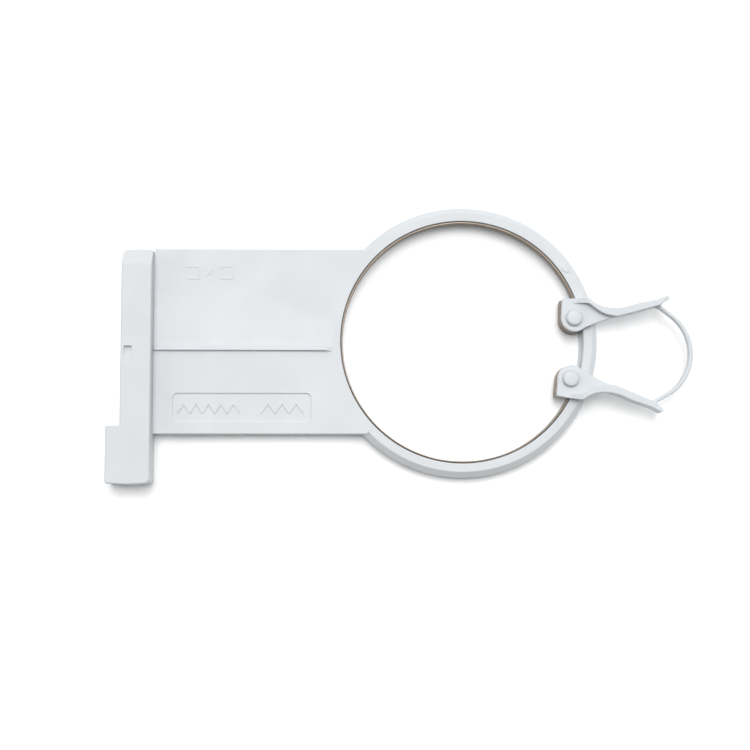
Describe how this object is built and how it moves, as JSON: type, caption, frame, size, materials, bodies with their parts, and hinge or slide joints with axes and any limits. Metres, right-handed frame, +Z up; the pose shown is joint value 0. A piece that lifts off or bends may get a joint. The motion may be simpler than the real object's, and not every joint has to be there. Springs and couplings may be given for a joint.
{
  "type": "embroidery spring hoop",
  "caption": "Flat plastic embroidery frame with a round opening, a slide-on arm bracket, and a spring-steel clamping ring squeezed with finger levers joined by a thin bow.",
  "frame": {"origin": "middle of the footprint on the surface that the hoop lies on", "axes": "+X from the bracket towards the finger levers, +Y away from the bracket's foot, +Z up from the surface"},
  "size_m": [0.1852, 0.0886, 0.012],
  "materials": {
    "frame_plastic": "pale cool grey moulded plastic, satin",
    "bracket_plastic": "pale cool grey moulded plastic, satin",
    "lever_plastic": "pale cool grey moulded plastic, satin",
    "rivet_plastic": "pale grey moulded plastic, satin",
    "spring_steel": "rolled spring steel with a warm tempered tint",
    "screw_steel": "zinc-plated steel"
  },
  "bodies": {
    "hoop": {"hoop_frame": "frame_plastic", "connector_bracket": "bracket_plastic", "bracket_screw_1": "screw_steel", "bracket_screw_2": "screw_steel", "bracket_screw_3": "screw_steel"},
    "spring_back": {"band_back": "spring_steel"},
    "upper_side": {"band_upper": "spring_steel", "lever_upper": "lever_plastic", "keeper_upper": "lever_plastic", "keeper_plate_upper": "spring_steel", "rivet_upper": "rivet_plastic"},
    "lower_side": {"band_lower": "spring_steel", "lever_lower": "lever_plastic", "keeper_lower": "lever_plastic", "keeper_plate_lower": "spring_steel", "rivet_lower": "rivet_plastic"},
    "bow_upper_a": {"bow_upper_root": "lever_plastic"},
    "bow_upper_b": {"bow_upper_tip": "lever_plastic"},
    "bow_lower_a": {"bow_lower_root": "lever_plastic"},
    "bow_lower_b": {"bow_lower_tip": "lever_plastic"}
  },
  "joints": [
    {"name": "lift", "type": "slide", "parent": "hoop", "child": "spring_back", "axis": [0, 0, 1], "range_m": [0, 0.025]},
    {"name": "squeeze_upper", "type": "hinge", "parent": "spring_back", "child": "upper_side", "pos_m": [-0.00058, 0.0338, 0.0038], "axis": [0, 0, -1], "range_deg": [0, 4.8], "stiffness_Nm_per_rad": 3},
    {"name": "bow_upper_root_flex", "type": "hinge", "parent": "upper_side", "child": "bow_upper_a", "pos_m": [0.08195, 0.01131, 0.0063], "axis": [0, 0, 1], "range_deg": [0, 41.3]},
    {"name": "bow_upper_mid_flex", "type": "hinge", "parent": "bow_upper_a", "child": "bow_upper_b", "pos_m": [0.09066, 0.00291, 0.0063], "axis": [0, 0, -1], "range_deg": [0, 36.5]},
    {"name": "squeeze_lower", "type": "hinge", "parent": "spring_back", "child": "lower_side", "pos_m": [-0.00472, -0.0286, 0.0038], "axis": [0, 0, 1], "range_deg": [0, 4.8], "stiffness_Nm_per_rad": 3},
    {"name": "bow_lower_root_flex", "type": "hinge", "parent": "lower_side", "child": "bow_lower_a", "pos_m": [0.08006, -0.01722, 0.0063], "axis": [0, 0, -1], "range_deg": [0, 41.3]},
    {"name": "bow_lower_mid_flex", "type": "hinge", "parent": "bow_lower_a", "child": "bow_lower_b", "pos_m": [0.0898, -0.01004, 0.0063], "axis": [0, 0, 1], "range_deg": [0, 36.5]}
  ],
  "couplings": [
    {"joint": "bow_upper_root_flex", "follows": "squeeze_upper", "ratio": 8.6},
    {"joint": "bow_upper_mid_flex", "follows": "squeeze_upper", "ratio": 7.6},
    {"joint": "squeeze_lower", "follows": "squeeze_upper", "ratio": 1},
    {"joint": "bow_lower_root_flex", "follows": "squeeze_upper", "ratio": 8.6},
    {"joint": "bow_lower_mid_flex", "follows": "squeeze_upper", "ratio": 7.6}
  ]
}
